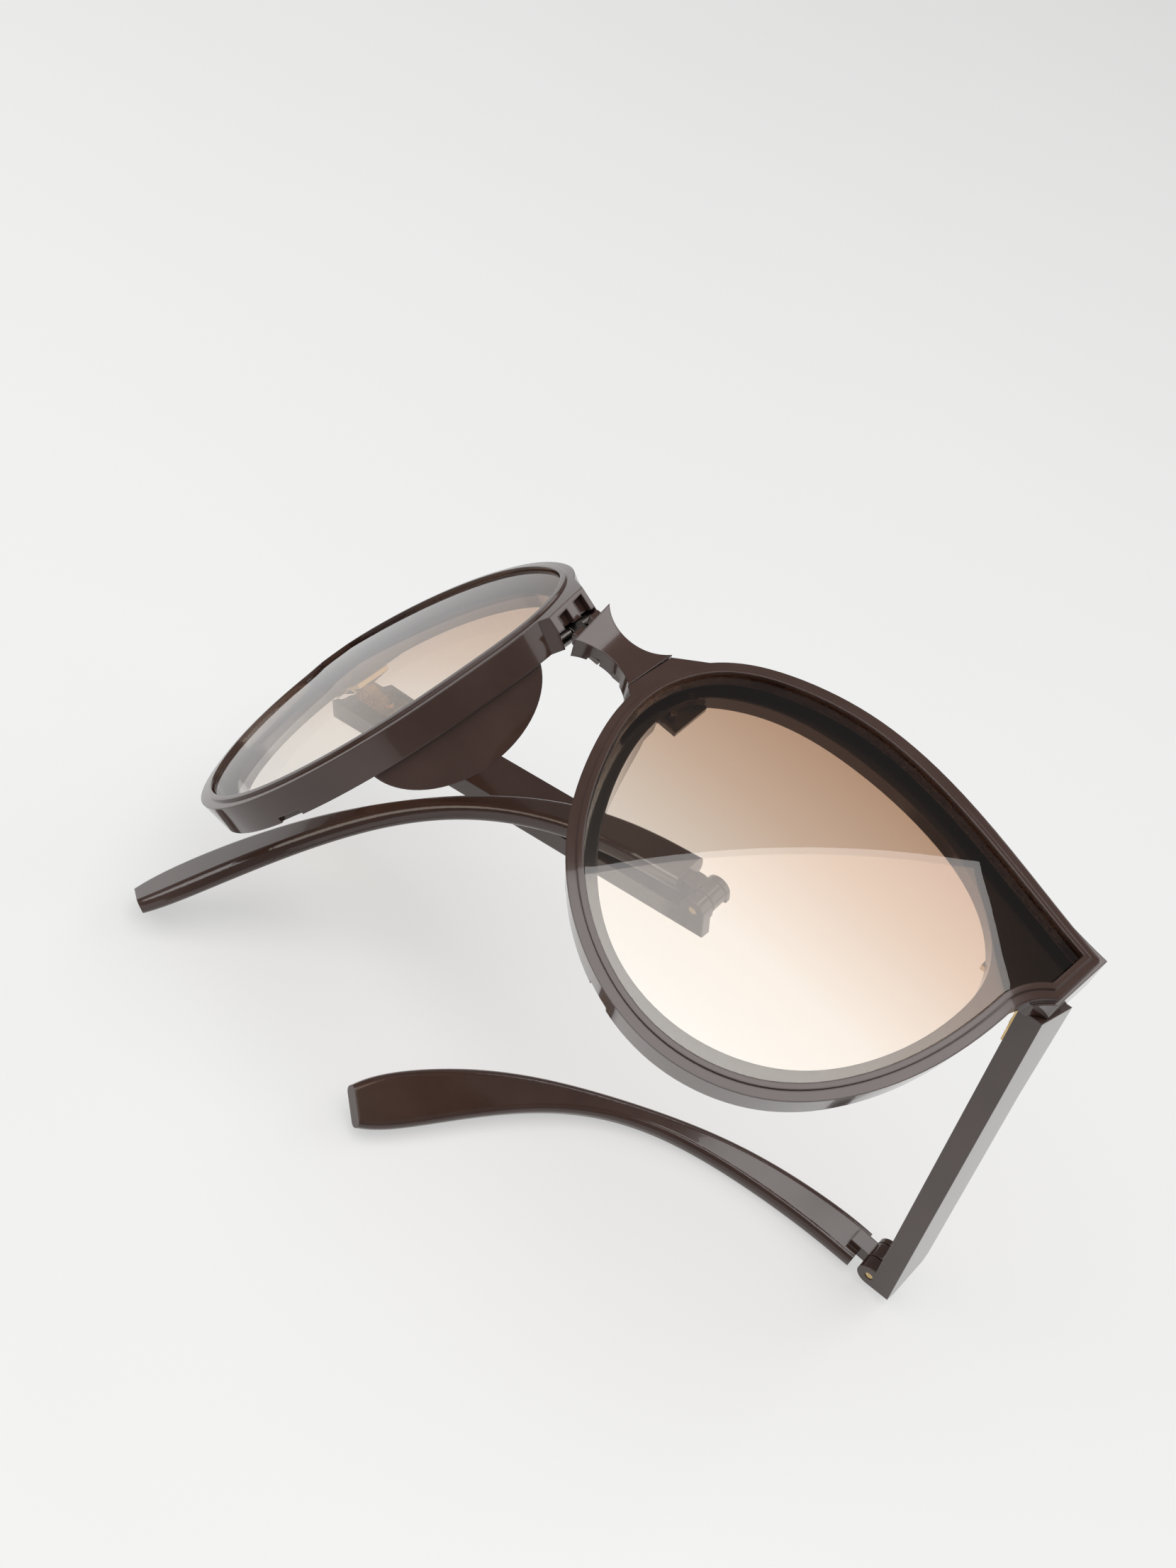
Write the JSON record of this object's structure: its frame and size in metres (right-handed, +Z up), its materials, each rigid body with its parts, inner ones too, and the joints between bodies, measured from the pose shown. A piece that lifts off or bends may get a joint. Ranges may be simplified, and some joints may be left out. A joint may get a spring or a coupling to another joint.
{
  "type": "folding sunglasses",
  "caption": "Folding sunglasses with a hinged bridge between two moulded rims, gradient lenses flush in the rims, and temples that fold at the front and again in their middle.",
  "frame": {"origin": "bottom centre of the bounding box of the partly folded pair as it stands", "axes": "+Z up from the surface it stands on, +X across the left front towards its temple, +Y away from the side the lenses face"},
  "size_m": [0.1204, 0.08, 0.0762],
  "materials": {
    "frame_plastic": "polished",
    "lens_tint": "polished, tint fading from top to bottom",
    "brass": "satin",
    "steel": "satin",
    "dark_steel": "satin"
  },
  "bodies": {
    "left_front": {"left_rim": "frame_plastic", "left_lens": "lens_tint", "left_bridge_hinge_rim_leaf": "dark_steel", "left_bridge_hinge_rim_rivets": "dark_steel", "left_temple_hinge_front_leaf": "brass", "left_temple_hinge_screw": "steel", "left_temple_hinge_front_rivets": "brass"},
    "bridge": {"bridge": "frame_plastic", "left_bridge_hinge_bridge_leaf": "dark_steel", "left_bridge_hinge_bridge_rivets": "dark_steel", "left_bridge_hinge_screw": "steel", "right_bridge_hinge_bridge_leaf": "dark_steel", "right_bridge_hinge_bridge_rivets": "dark_steel", "right_bridge_hinge_screw": "steel"},
    "right_front": {"right_rim": "frame_plastic", "right_lens": "lens_tint", "right_bridge_hinge_rim_leaf": "dark_steel", "right_bridge_hinge_rim_rivets": "dark_steel", "right_temple_hinge_front_leaf": "brass", "right_temple_hinge_screw": "steel", "right_temple_hinge_front_rivets": "brass"},
    "left_temple": {"left_temple_bar": "frame_plastic", "left_temple_hinge_rear_leaf": "brass", "left_temple_hinge_rear_rivets": "brass", "left_fold_pin": "brass"},
    "right_temple": {"right_temple_bar": "frame_plastic", "right_temple_hinge_rear_leaf": "brass", "right_temple_hinge_rear_rivets": "brass", "right_fold_pin": "brass"},
    "left_tip": {"left_temple_tip": "frame_plastic", "left_tip_core_wire": "steel"},
    "right_tip": {"right_temple_tip": "frame_plastic", "right_tip_core_wire": "steel"}
  },
  "joints": [
    {"name": "left_bridge_hinge", "type": "hinge", "parent": "left_front", "child": "bridge", "pos_m": [-0.01086, 0.00566, 0.06599], "axis": [-0.3014, -0.9281, -0.2187], "range_deg": [0, 28]},
    {"name": "right_bridge_hinge", "type": "hinge", "parent": "bridge", "child": "right_front", "pos_m": [-0.02397, 0.00997, 0.06576], "axis": [-0.3014, -0.9281, -0.2187], "range_deg": [-53.9, 8]},
    {"name": "left_temple_fold", "type": "hinge", "parent": "left_front", "child": "left_temple", "pos_m": [0.04247, -0.00879, 0.06791], "axis": [0.3014, 0.9281, 0.2187], "range_deg": [0, 23]},
    {"name": "right_temple_fold", "type": "hinge", "parent": "right_front", "child": "right_temple", "pos_m": [-0.05051, 0.03208, 0.0226], "axis": [-0.3014, -0.9281, -0.2187], "range_deg": [-59, 16]},
    {"name": "left_tip_fold", "type": "hinge", "parent": "left_temple", "child": "left_tip", "pos_m": [0.05548, 0.00109, 0.00437], "axis": [0.3014, 0.9281, 0.2187], "range_deg": [-96.5, 75]},
    {"name": "right_tip_fold", "type": "hinge", "parent": "right_temple", "child": "right_tip", "pos_m": [0.00776, 0.00802, 0.04075], "axis": [-0.3014, -0.9281, -0.2187], "range_deg": [-6.5, 0]}
  ]
}
